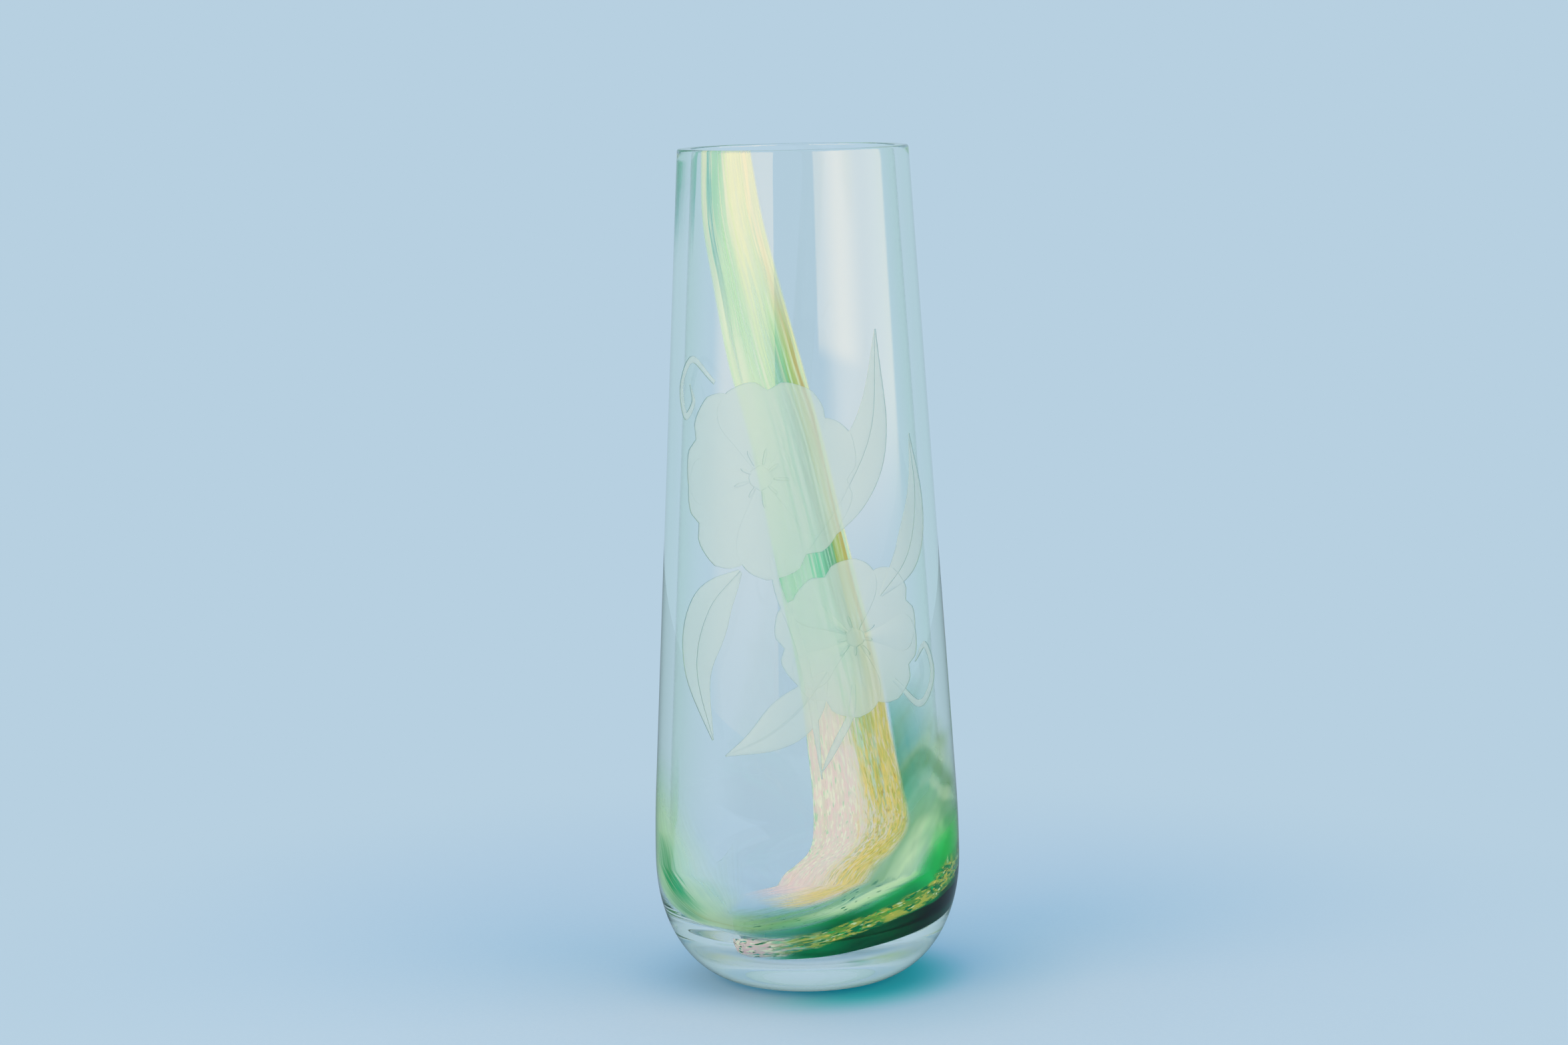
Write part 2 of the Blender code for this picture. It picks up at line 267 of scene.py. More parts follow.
class Wiring:
    """Adds nodes to a node tree; a value given to a socket is a number, a colour or another socket."""

    def __init__(self, tree):
        self.tree = tree

    def feed(self, socket, value):
        if isinstance(value, bpy.types.NodeSocket):
            self.tree.links.new(value, socket)
        else:
            socket.default_value = value

    def add(self, kind, inputs=None, **settings):
        node = self.tree.nodes.new("ShaderNode" + kind)
        for key, value in settings.items():
            setattr(node, key, value)
        for key, value in (inputs or {}).items():
            self.feed(node.inputs[key], value)
        return node

    def math(self, operation, first, second=0.0):
        return self.add("Math", {0: first, 1: second}, operation=operation).outputs[0]

    def plus(self, first, second):
        return self.math("ADD", first, second)

    def minus(self, first, second):
        return self.math("SUBTRACT", first, second)

    def over(self, first, second):
        return self.math("DIVIDE", first, second)

    def most(self, first, second):
        return self.math("MAXIMUM", first, second)

    def times(self, first, *others):
        for value in others:
            first = self.math("MULTIPLY", first, value)
        return first

    def vector(self, x, y, z=0.0):
        return self.add("CombineXYZ", {0: x, 1: y, 2: z}).outputs[0]

    def split(self, vector):
        return self.add("SeparateXYZ", {0: vector}).outputs

    def dot(self, first, second):
        return self.add("VectorMath", {0: first, 1: second}, operation="DOT_PRODUCT").outputs["Value"]

    def noise(self, spot, scale, detail):
        return self.add("TexNoise", {"Vector": spot, "Scale": scale, "Detail": detail}).outputs[0]

    def smooth(self, value, low, high):
        """0 below low, 1 above high and a smooth step between."""
        node = self.add("MapRange", {0: value, 1: low, 2: high}, interpolation_type="SMOOTHSTEP")
        return node.outputs[0]

    def mix(self, share, first, second):
        node = self.add("Mix", {0: share, 6: first, 7: second}, data_type="RGBA")
        return node.outputs[2]

    def feed_all(self, node, **values):
        """Feeds a node's inputs; a _ in a key stands for a space."""
        for key, value in values.items():
            self.feed(node.inputs[key.replace("_", " ")], value)

    def blend(self, share, first, second):
        """Mixes two shader nodes."""
        return self.add("MixShader", {0: share, 1: first.outputs[0], 2: second.outputs[0]})

    def show(self, shader, output="Material Output"):
        self.feed(self.tree.nodes[output].inputs["Surface"], shader.outputs[0])

    def ramp(self, share, stops):
        """A colour ramp through (position, screen colour) stops."""
        colours = [(position, screen(colour)) for position, colour in stops]
        return self.ramp_through(share, colours, "EASE")

    def curve(self, share, stops):
        """A number that follows (position, value) stops."""
        greys = [(position, (value, value, value, 1)) for position, value in stops]
        return self.ramp_through(share, greys, "LINEAR")

    def ramp_through(self, share, stops, interpolation):
        ramp = self.add("ValToRGB", {0: share})
        ramp.color_ramp.interpolation = interpolation
        elements = ramp.color_ramp.elements
        elements.remove(elements[1])
        for number, (position, colour) in enumerate(stops):
            element = elements.new(position) if number else elements[0]
            element.position, element.color = position, colour
        return ramp.outputs[0]

    def group(self, name, **inputs):
        node = self.add("Group", node_tree=bpy.data.node_groups[name])
        self.feed_all(node, **inputs)
        return node.outputs


def new_group(name, outputs, **inputs):
    """A node group with named outputs, and float inputs with their defaults: its wiring and sockets."""
    tree = bpy.data.node_groups.new(name, "ShaderNodeTree")
    for label, default in inputs.items():
        socket = tree.interface.new_socket(label, in_out="INPUT", socket_type="NodeSocketFloat")
        socket.default_value = default
    for label in outputs:
        tree.interface.new_socket(label, in_out="OUTPUT", socket_type="NodeSocketFloat")
    given, result = tree.nodes.new("NodeGroupInput").outputs, tree.nodes.new("NodeGroupOutput").inputs
    return Wiring(tree), [given[label] for label in inputs], result


def build_pulled_streaks():
    """Streaks that pulling the hot glass draws out, broad and fine, 0 to 1. Lengths are in mm."""
    wiring, (across, along, width, length, wander, seed), result = new_group(
        "pulled_streaks", ("Broad", "Fine"), Across=0.0, Along=0.0, Width=4.0, Length=40.0, Wander=2.0,
        Seed=0.0,
    )
    slow = wiring.vector(wiring.over(across, 20), wiring.over(along, 40), seed)
    drift = wiring.times(wiring.minus(wiring.noise(slow, 1.0, 1.0), 0.5), wander)
    across = wiring.over(wiring.plus(across, drift), width)
    along = wiring.over(along, length)
    for label, finer, other_seed in (("Broad", 1.0, 0.0), ("Fine", 4.0, 7.0)):
        right, down = wiring.times(across, finer), wiring.times(along, 1 + finer / 4)
        spot = wiring.vector(right, down, wiring.plus(seed, other_seed))
        wiring.feed(result[label], wiring.smooth(wiring.noise(spot, 1.0, 2.0), 0.3, 0.7))


def build_drawn_streak():
    """One streak that runs down a ribbon, 0 to 1. Top, Middle and Foot are its place across."""
    wiring, (across, along, top, middle, foot, width, start, end, fade, fray), result = new_group(
        "drawn_streak", ("Streak",), Across=0.5, Along=0.5, Top=0.5, Middle=0.5, Foot=0.5, Width=0.1,
        Start=0.0, End=1.0, Fade=0.08, Fray=0.5,
    )
    twice = wiring.minus(wiring.times(along, 2.0), 1.0)
    middling = wiring.minus(1.0, wiring.math("ABSOLUTE", twice))
    centre = 0.0
    for spot, share in ((top, wiring.times(twice, -1.0)), (middle, middling), (foot, twice)):
        centre = wiring.plus(centre, wiring.times(spot, wiring.most(share, 0.0)))
    off = wiring.math("ABSOLUTE", wiring.over(wiring.minus(across, centre), width))
    fray = wiring.minus(fray, 0.5)
    streak = wiring.smooth(wiring.plus(off, fray), 1.0, 0.15)
    for span in (wiring.minus(along, start), wiring.minus(end, along)):
        inside = wiring.smooth(wiring.plus(wiring.over(span, fade), fray), -1.0, 1.0)
        streak = wiring.times(streak, inside)
    wiring.feed(result["Streak"], streak)


def build_crushed_flecks():
    """Crushed colour glass drawn out into flecks, 0 to 1. Lengths are in mm."""
    wiring, (across, along, width, length, cover, seed), result = new_group(
        "crushed_flecks", ("Fleck",), Across=0.0, Along=0.0, Width=0.6, Length=2.0, Cover=0.4, Seed=0.0
    )
    spot = wiring.vector(wiring.over(across, width), wiring.over(along, length), seed)
    level = wiring.minus(0.68, wiring.times(cover, 0.32))
    fleck = wiring.smooth(wiring.minus(wiring.noise(spot, 0.7, 1.5), level), -0.03, 0.06)
    wiring.feed(result["Fleck"], fleck)


def build_feathered_edges():
    """1 inside a strip and 0 at its outline, with its own softness and fray at each side."""
    wiring, (across, along, left, right, start, end, fray), result = new_group(
        "feathered_edges", ("Mask",), Across=0.5, Along=0.5, Left=0.1, Right=0.1, Start=0.1, End=0.1, Fray=0.0
    )
    mask = 1.0
    for share, near, far in ((across, left, right), (along, start, end)):
        for reach, softness in ((share, near), (wiring.minus(1.0, share), far)):
            inside = wiring.smooth(wiring.minus(wiring.over(reach, softness), fray), 0.0, 1.0)
            mask = wiring.times(mask, inside)
    wiring.feed(result["Mask"], mask)


def build_handling_marks():
    """The faint smears and short scuffs that a handled glass surface carries, 0 to 1."""
    wiring, (size, amount), result = new_group("handling_marks", ("Smear", "Ripple"), Size=40.0, Amount=0.5)
    spot = wiring.add("TexCoord").outputs["Object"]
    low, tall = (
        wiring.add("VectorMath", {0: spot, 1: (1.0, 1.0, squeeze)}, operation="MULTIPLY").outputs[0]
        for squeeze in (3.5, 0.12)
    )
    smear = wiring.smooth(wiring.noise(low, size, 4.0), 0.58, 0.80)
    wiring.feed(result["Smear"], wiring.times(smear, amount))
    wiring.feed(result["Ripple"], wiring.noise(tall, size, 1.0))


def new_material(name):
    """A new material, its wiring and its shader."""
    material = bpy.data.materials.new(name)
    material.use_nodes = True
    return material, Wiring(material.node_tree), material.node_tree.nodes["Principled BSDF"]


def glass_material(name, tint, edge_tint, shadow_tints, roughness, transmission, marks):
    """Clear or frosted glass, greener where it is seen edge-on."""
    material, wiring, shader = new_material(name)
    wear = wiring.group("handling_marks", Size=40.0, Amount=marks)
    facing = wiring.add("LayerWeight", {"Blend": 0.5}).outputs["Facing"]
    colour = wiring.mix(wiring.smooth(facing, 0.2, 0.95), screen(tint), screen(edge_tint))
    rim_tint = tuple(value * 0.72 for value in edge_tint)
    colour = wiring.mix(wiring.smooth(facing, 0.72, 0.98), colour, screen(rim_tint))
    height = wiring.split(wiring.add("NewGeometry").outputs["Position"])[2]
    ground = wiring.times(wiring.smooth(height, *GROUND_HEIGHTS), GROUND_ROUGHNESS)
    rough = wiring.plus(ground, wiring.plus(roughness, wear["Smear"]))
    bump = wiring.add("Bump", {"Height": wear["Ripple"], "Strength": RIPPLE_STRENGTH, "Distance": MM})
    wiring.feed_all(
        shader, Base_Color=colour, Roughness=rough, IOR=GLASS_INDEX, Transmission_Weight=transmission,
        Normal=bump.outputs[0],
    )
    near_foot = wiring.smooth(height, *BASE_SHADOW_HEIGHTS)
    shadow = wiring.mix(near_foot, *(screen(tint) for tint in shadow_tints))
    let_lamps_through(wiring, shader, shadow)
    return material


def let_lamps_through(wiring, shader, tint):
    """Rays that only carry light to other things pass the glass straight, tinted."""
    path = wiring.add("LightPath").outputs
    carrying = wiring.most(path["Is Shadow Ray"], path["Is Diffuse Ray"])
    wiring.show(wiring.blend(carrying, shader, wiring.add("BsdfTransparent", {"Color": tint})))


class LaidGlass:
    """The material of one strip of colour glass, painted in the strip's own shares.

    along runs down the strip, across runs over the whole route that it shares, and band over this
    strip alone. width and length are the route's own, in mm.
    """

    def __init__(self, name, width, length, seed):
        self.material, self.wiring, self.shader = new_material(name)
        wiring = self.wiring
        laid, route = (wiring.split(wiring.add("UVMap", uv_map=key).outputs[0]) for key in ("laid", "route"))
        self.band, self.along, self.across = laid[0], laid[1], route[0]
        self.mm = {"Across": wiring.times(self.across, width), "Along": wiring.times(self.along, length)}
        streaks = wiring.group("pulled_streaks", **self.mm, Seed=seed)
        self.broad, self.fine = streaks["Broad"], streaks["Fine"]
        self.seed = seed
        self.colour = None
        self.times = wiring.times

    def fade(self, low, high):
        """A mask that goes smoothly from 0 at the share low down the strip to 1 at high."""
        return self.wiring.smooth(self.along, low, high)

    def tint(self, share, tone):
        """Mixes a share of another tone into the colour."""
        self.colour = self.wiring.mix(share, self.colour, tone)

    def lay(self, tones, pulled=None, share=0.6):
        """The main tones down the strip, with others pulled through them in broad streaks."""
        self.colour = self.wiring.ramp(self.along, tones)
        if pulled:
            self.tint(self.times(self.broad, share), self.wiring.ramp(self.along, pulled))

    def draw(self, streaks, across=None):
        """Streaks: tone, place across at the top, middle and foot, half width, start, end, strength."""
        for tone, top, middle, foot, width, start, end, strength in streaks:
            streak = self.wiring.group(
                "drawn_streak", Across=across or self.across, Along=self.along, Top=top, Middle=middle,
                Foot=foot, Width=width, Start=start, End=end, Fray=self.fine,
            )["Streak"]
            self.tint(self.times(streak, strength), screen(tone))

    def sprinkle(self, flecks, amount, width, length):
        """Flecks of crushed glass: tone and cover, 0 to 1, of each, their amount and their size in mm."""
        for number, (tone, cover) in enumerate(flecks):
            seed = self.seed + 10 + 3 * number
            fleck = self.wiring.group(
                "crushed_flecks", **self.mm, Width=width, Length=length, Cover=cover, Seed=seed
            )["Fleck"]
            self.tint(self.times(fleck, amount), screen(tone))

    def edges(self, left, right, start, end, fray):
        """A mask that fades out at the strip's own outline."""
        return self.wiring.group(
            "feathered_edges", Across=self.band, Along=self.along, Left=left, Right=right, Start=start,
            End=end, Fray=self.times(self.fine, fray),
        )["Mask"]

    def finish(self, *masks, clearness, lamp_tint):
        """Closes the material; the masks' product is its alpha."""
        self.wiring.feed_all(
            self.shader, Base_Color=self.colour, Alpha=self.times(*masks), Roughness=LAID_ROUGHNESS,
            IOR=FUSED_INDEX, Transmission_Weight=clearness,
        )
        let_lamps_through(self.wiring, self.shader, screen(lamp_tint))
        return self.material


def laid_point(route, along, across, lift):
    """The point of a laid-on strip at shares along and across it, above the inner gather by lift."""
    left, right, low, high = (between(values, along) for values in route)
    radius, height = gather_point(low + (high - low) * across, lift)
    return place(math.radians(left + (right - left) * across), radius, height)


def quads(rows, columns):
    """The corners (row, column) of each face of a grid."""
    for row in range(rows):
        for column in range(columns):
            yield (row, column), (row + 1, column), (row + 1, column + 1), (row, column + 1)


def laid_lens(name, route, band, lift, rows, start, columns=14):
    """A lens of glass on the inner gather: thick in the middle and thinning out to a closed edge.

    band gives its left and right edge across the route as functions of the share along.
    """
    shape = bmesh.new()
    laid, routed = (shape.loops.layers.uv.new(key) for key in ("laid", "route"))
    sheets = {}
    shares = {}
    for side in (0, 1):
        for row in range(rows + 1):
            along = start + (1 - start) * row / rows
            left, right = band[0](along), band[1](along)
            for column in range(columns + 1):
                if side and (row in (0, rows) or column in (0, columns)):
                    sheets[side, row, column] = sheets[0, row, column]
                    continue
                across = column / columns
                swell = 1 - abs(2 * across - 1) ** 3
                half = LAID_THICKNESS / 2 * swell * min(row, rows - row, 4) / 4
                over = left + (right - left) * across
                vert = shape.verts.new(laid_point(route, along, over, lift + (half if side else -half)))
                sheets[side, row, column] = vert
                shares[vert] = ((across, along), (over, along))
    for side in (0, 1):
        for corners in quads(rows, columns):
            verts = [sheets[side, row, column] for row, column in corners]
            for loop in shape.faces.new(verts if side else verts[::-1]).loops:
                loop[laid].uv, loop[routed].uv = shares[loop.vert]
    return mesh_from(name, shape)


def edge_at(values):
    """An edge across a route that follows values down it."""
    return lambda along: between(values, along)


def constant(value):
    """An edge that stays at one share across the route."""
    return lambda along: value


def lay_strip(name, route, band, lift, rows, material, start=0.0, replaced=True):
    """Lays one strip of colour glass in the wall, in the place of the solid of its name."""
    piece = new_object(name + "_laid", laid_lens(name + "_laid", route, band, lift, rows, start), material)
    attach(piece, BODY)
    if replaced:
        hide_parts(name)


def a_length(name, description, default):
    return bpy.props.FloatProperty(name=name, description=description, default=default, unit="LENGTH")


def a_number(name, description, default):
    return bpy.props.FloatProperty(name=name, description=description, default=default)


def a_colour(name, description, default):
    return bpy.props.FloatVectorProperty(
        name=name, description=description, default=default, subtype="COLOR", size=4, min=0, max=1
    )


class VaseBodySettings(bpy.types.PropertyGroup):
    """Sizes of the clear glass."""

    height: a_length("Height", "Foot to rim", CAD_HIGH.z - CAD_LOW.z)
    shoulder_radius: a_length("Shoulder radius", "Radius at the widest", (CAD_HIGH.x - CAD_LOW.x) / 2)
    rim_radius: a_length("Rim radius", "Radius at the mouth", 0.0328)
    shoulder_height: a_length("Shoulder height", "Height of the widest part", 0.036)
    wall: a_length("Wall", "Thickness of the whole wall", 0.0041)
    casing_wall: a_length("Casing wall", "Depth of the colour under the outside", 0.0024)
    gather_underside: a_length("Inner gather's underside", "Height of the lowest colour", 0.0075)
    floor_height: a_length("Floor", "Glass under the hollow", 0.012)
    rim_round: a_length("Rim rounding", "Radius of the rim's two edges", 0.0006)
    turn_steps: bpy.props.IntProperty(name="Turn steps", description="Sides round the axis", default=256)


class StageSettings(bpy.types.PropertyGroup):
    """Floor and lamps. White has a brightness of 1."""

    cloth_colour: a_colour("Cloth", "Colour of the floor", screen((182, 208, 230)))
    backdrop_colour: a_colour("Backdrop", "Colour behind the vase", screen((183, 208, 225)))
    room_colour: a_colour("Room", "Colour of the dim room that the glass mirrors", (0.01, 0.02, 0.02, 1))
    lamp_colour: a_colour("Softboxes", "Colour of the softboxes", (1.0, 0.64, 0.25, 1))
    key_colour: a_colour("Key colour", "Colour of the high lamp at the left", (1.0, 0.76, 0.48, 1))
    left_radiance: a_number("Left softbox", "Brightness of the wide softbox", 4.0)
    right_radiance: a_number("Right softbox", "Brightness of the narrow softbox", 3.3)
    side_radiance: a_number("Side softbox", "Brightness of the far right softbox", 3.7)
    key_radiance: a_number("Key", "Brightness of the high lamp at the left", 1.4)
    ambient_colour: a_colour("Ambient colour", "Colour of the light from all round", (0.39, 0.70, 1.0, 1))
    ambient: a_number("Ambient", "Strength of the light from all round", 0.80)


class VASE_OT_clear_body(bpy.types.Operator):
    """Turns the clear glass body with its hollow"""

    bl_idname = "vase.clear_body"
    bl_label = "Clear body"

    bottom_steps = 30
    wall_rows = 70
    round_steps = 5

    def execute(self, context):
        vase = context.scene.vase_body
        shape = bmesh.new()
        self.revolve(shape, self.profile(vase), vase.turn_steps)
        clear = glass_material(
            "clear_glass", tint=(254, 255, 254), edge_tint=(222, 242, 218),
            shadow_tints=((226, 238, 242), (90, 180, 196)), roughness=0.0, transmission=1.0, marks=0.03,
        )
        piece = new_object("clear_body", mesh_from("clear_body", shape), clear)
        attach(piece, BODY)
        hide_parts("clear_casing", "inner_lining")
        return {"FINISHED"}

    def rim_corner(self, vase, radius, outward):
        """Points round one edge of the rim, from the wall to the flat top."""
        points = []
        for step in range(1, self.round_steps + 1):
            turn = math.pi / 2 * step / self.round_steps
            inset = vase.rim_round * (1 - math.cos(turn))
            rise = vase.rim_round * math.sin(turn)
            points.append((radius - outward * inset, vase.height - vase.rim_round + rise))
        return points

    def profile(self, vase):
        """Points (radius, height) up the outside, over the rim and down the hollow."""
        span = vase.height - vase.rim_round - vase.shoulder_height
        shares = [step / self.wall_rows for step in range(1, self.wall_rows + 1)]
        heights = [vase.shoulder_height + span * share for share in shares]
        sheets = []
        for foot, depth, underside, roundness, outward in (
            (FOOT_RADIUS, 0, 0, OUTSIDE_ROUNDNESS, 1),
            (0, vase.wall, vase.floor_height, HOLLOW_ROUNDNESS, -1),
        ):
            side = vase.shoulder_radius - depth
            points = rounded_bottom(foot, side, underside, roundness, self.bottom_steps)
            points += [(outside_radius(z) - depth, z) for z in heights]
            sheets.append(points + self.rim_corner(vase, vase.rim_radius - depth, outward))
        return [(0, 0)] + sheets[0] + sheets[1][::-1]

    def revolve(self, shape, points, steps):
        rings = []
        for radius, height in points:
            count = steps if radius > 0 else 1
            rings.append([shape.verts.new(place(TURN * j / steps, radius, height)) for j in range(count)])
        for low, high in zip(rings, rings[1:]):
            for j in range(steps):
                k = (j + 1) % steps
                corners = [low[j % len(low)], low[k % len(low)], high[k % len(high)], high[j % len(high)]]
                kept = [vert for number, vert in enumerate(corners) if vert not in corners[:number]]
                shape.faces.new(kept)


class VASE_OT_flower_spray(bpy.types.Operator):
    """Engraves a spray of two blossoms, leaves and tendrils in the front of the glass and frosts it"""

    bl_idname = "vase.flower_spray"
    bl_label = "Flower spray"

    unroll_radius = 38 * MM
    overrun = 1 * MM
    crease_angle = math.radians(32)
    petal_widths = (0.16, 0.52, 0.86, 1.0, 0.98, 0.80)
    leaf_widths = (0.10, 0.62, 0.96, 1.0, 0.74, 0.36, 0.03)
    stem_widths = (0.55, 0.9, 1.0, 1.0, 0.8, 0.12)
    heart_widths = (0.1, 0.75, 0.97, 0.97, 0.75, 0.1)

    def execute(self, context):
        body = bpy.data.objects["clear_body"]
        frost = glass_material(
            "frosted_glass", tint=(186, 211, 219), edge_tint=(182, 210, 212),
            shadow_tints=((216, 230, 230), (216, 230, 230)), roughness=0.45, transmission=0.48, marks=0.06,
        )
        body.data.materials.append(frost)
        cutters = bpy.data.collections.new("engraving")
        for number, outline in enumerate(self.outlines()):
            mesh = self.blade(number, *outline)
            mesh.materials.append(body.data.materials[0])
            mesh.materials.append(frost)
            mesh.polygons.foreach_set("material_index", [1] * len(mesh.polygons))
            cutters.objects.link(bpy.data.objects.new(mesh.name, mesh))
        cut = body.modifiers.new("engraving", "BOOLEAN")
        cut.operation = "DIFFERENCE"
        cut.operand_type = "COLLECTION"
        cut.collection = cutters
        cut.solver = "EXACT"
        engraved = bpy.data.meshes.new_from_object(body.evaluated_get(context.evaluated_depsgraph_get()))
        body.modifiers.remove(cut)
        body.data = engraved
        for cutter in list(cutters.objects):
            bpy.data.objects.remove(cutter)
        bpy.data.collections.remove(cutters)
        self.keep_wall_round(context.scene.vase_body, engraved)
        return {"FINISHED"}

    def outlines(self):
        """Spine points in mm on the unrolled wall, half width, width shares, notch and depths."""
        for centre, length, turn, shallow in (((-11, 150), 27, 12, 0.22), ((14, 105), 21, -18, 0.16)):
            for number in range(5):
                bow = 9 if number % 2 else -7
                petal = self.ray(centre, length, turn + 72 * number, (0.08, 0.4, 0.7, 1.0), bow)
                yield petal, 0.60 * length, self.petal_widths, 0.13, (shallow, 0.28)
            heart = [(centre[0], centre[1] + length * reach) for reach in (-0.13, 0.13)]
            yield heart, 0.13 * length, self.heart_widths, 0.0, (0.32, 0.38)
            for number in range(9):
                far = length * (0.24 if number % 2 else 0.31)
                stamen = self.ray(centre, far, turn + 40 * number, (0.45, 0.8, 1.0))
                yield stamen, 0.45, self.stem_widths, 0.0, (0.38, 0.42)
        for leaf, half in (
            (((2, 130), (13, 146), (22, 164), (25, 190)), 7.5),
            (((-17, 124), (-27, 112), (-31, 96), (-25, 76)), 7.5),
            (((22, 116), (33, 127), (38, 142), (37, 160)), 5.5),
            (((6, 96), (-1, 86), (-10, 78), (-21, 72)), 6.0),
        ):
            yield leaf, half, self.leaf_widths, 0.0, (0.16, 0.25)
            yield leaf, 0.28, self.stem_widths, 0.0, (0.32, 0.34)
        for stem, half in (
            (((-8, 128), (-6, 118), (-1, 104), (2, 88), (4, 66)), 1.2),
            (((13, 92), (12, 84), (8, 76), (4, 68)), 1.0),
            (((-26, 176), (-36, 182), (-42, 174), (-39, 166), (-35, 170), (-37, 175)), 1.1),
            (((25, 92), (34, 84), (41, 91), (38, 100), (33, 96)), 1.1),
        ):
            yield stem, half, self.stem_widths, 0.0, (0.20, 0.28)

    def ray(self, centre, length, turn, shares, bow=0):
        """Points at shares of a line out from a blossom's centre, bent by bow. Angles are in degrees."""
        ways = [math.radians(turn) + math.radians(bow) * share for share in shares]
        return [
            (centre[0] + length * share * math.sin(way), centre[1] + length * share * math.cos(way))
            for share, way in zip(shares, ways)
        ]

    def blade(self, number, spine, half, widths, notch, depths):
        """A closed cutter under one petal, leaf or stem, deepest along its outline."""
        rows, columns = (26, 14) if half > 2 else (56, 6)
        xs, zs = zip(*spine)
        shape = bmesh.new()
        sheets = {}
        for row in range(rows + 1):
            for column in range(columns + 1):
                side, out = 2 * column / columns - 1, row / rows
                reach = out * (1 - notch * (abs(side) ** 2.4 + 0.8 * math.exp(-(side / 0.2) ** 2)))
                here, near = (Vector((between(xs, at), between(zs, at))) for at in (reach, reach + 0.01))
                ahead = (near - here).normalized()
                spot = here + Vector((ahead.y, -ahead.x)) * side * (half * between(widths, out))
                rim = max(abs(side) ** 4, out**10)
                depth = depths[0] + (depths[1] - depths[0]) * rim
                for sheet, under in ((0, depth * MM), (1, -self.overrun)):
                    radius = outside_radius(spot.y * MM) - under
                    vert = shape.verts.new(place(spot.x * MM / self.unroll_radius, radius, spot.y * MM))
                    sheets[sheet, row, column] = vert
        for corners in quads(rows, columns):
            for sheet in (0, 1):
                shape.faces.new([sheets[sheet, *corner] for corner in corners])
        outline = [(row, 0) for row in range(rows)]
        outline += [(rows, column) for column in range(columns)]
        outline += [(row, columns) for row in range(rows, 0, -1)]
        outline += [(0, column) for column in range(columns, 0, -1)]
        for here, there in zip(outline, outline[1:] + outline[:1]):
            shape.faces.new([sheets[0, *here], sheets[0, *there], sheets[1, *there], sheets[1, *here]])
        bmesh.ops.recalc_face_normals(shape, faces=shape.faces)
        return mesh_from(f"blade_{number}", shape)

    def keep_wall_round(self, vase, mesh):
        """Smooth wall normals up to the engraving's outline, and crisp edges along it."""
        mesh.shade_smooth()
        faces_of_edge = {}
        for face in mesh.polygons:
            for key in face.edge_keys:
                faces_of_edge.setdefault(key, []).append(face)
        for edge in mesh.edges:
            first, second = faces_of_edge[edge.key]
            edge.use_edge_sharp = first.material_index != second.material_index or (
                first.material_index == 1 and first.normal.angle(second.normal, 0) > self.crease_angle
            )
        normals = [Vector(corner.vector) for corner in mesh.corner_normals]
        for face in mesh.polygons:
            if face.material_index:
                continue
            for loop in face.loop_indices:
                spot = mesh.vertices[mesh.loops[loop].vertex_index].co
                radius = math.hypot(spot.x, spot.y)
                on_wall = vase.shoulder_height <= spot.z <= vase.height - vase.rim_round
                if on_wall and abs(radius - outside_radius(spot.z)) < vase.wall / 80:
                    outward = Vector((spot.x / radius, spot.y / radius, -outside_slope(spot.z)))
                    normals[loop] = outward.normalized()
        mesh.normals_split_custom_set(normals)


class VASE_OT_seed_bubble(bpy.types.Operator):
    """Traps one small drawn-out bubble in the base"""

    bl_idname = "vase.seed_bubble"
    bl_label = "Seed bubble"

    radius = 0.9 * MM
    stretch = (0.9, 0.8, 1.4)
    spot = (-0.0364, -0.0012, 0.0114)
    lean = math.radians(-35)

    def execute(self, context):
        shape = bmesh.new()
        bmesh.ops.create_icosphere(shape, subdivisions=3, radius=self.radius)
        bmesh.ops.scale(shape, vec=self.stretch, verts=shape.verts)
        bmesh.ops.reverse_faces(shape, faces=shape.faces)
        bubble = new_object("seed_bubble", mesh_from("seed_bubble", shape), bpy.data.materials["clear_glass"])
        bubble.location = self.spot
        bubble.rotation_euler = (0, self.lean, 0)
        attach(bubble, BODY)
        return {"FINISHED"}


def seam(laid, shares, side):
    """A mask that ends at the seam between two bands: side is 1 to keep what lies right of it."""
    place_across = laid.wiring.curve(laid.along, tuple(zip((0, 0.5, 1), shares)))
    off = laid.times(laid.wiring.minus(laid.across, place_across), side)
    return laid.wiring.smooth(off, -0.005, 0.003)


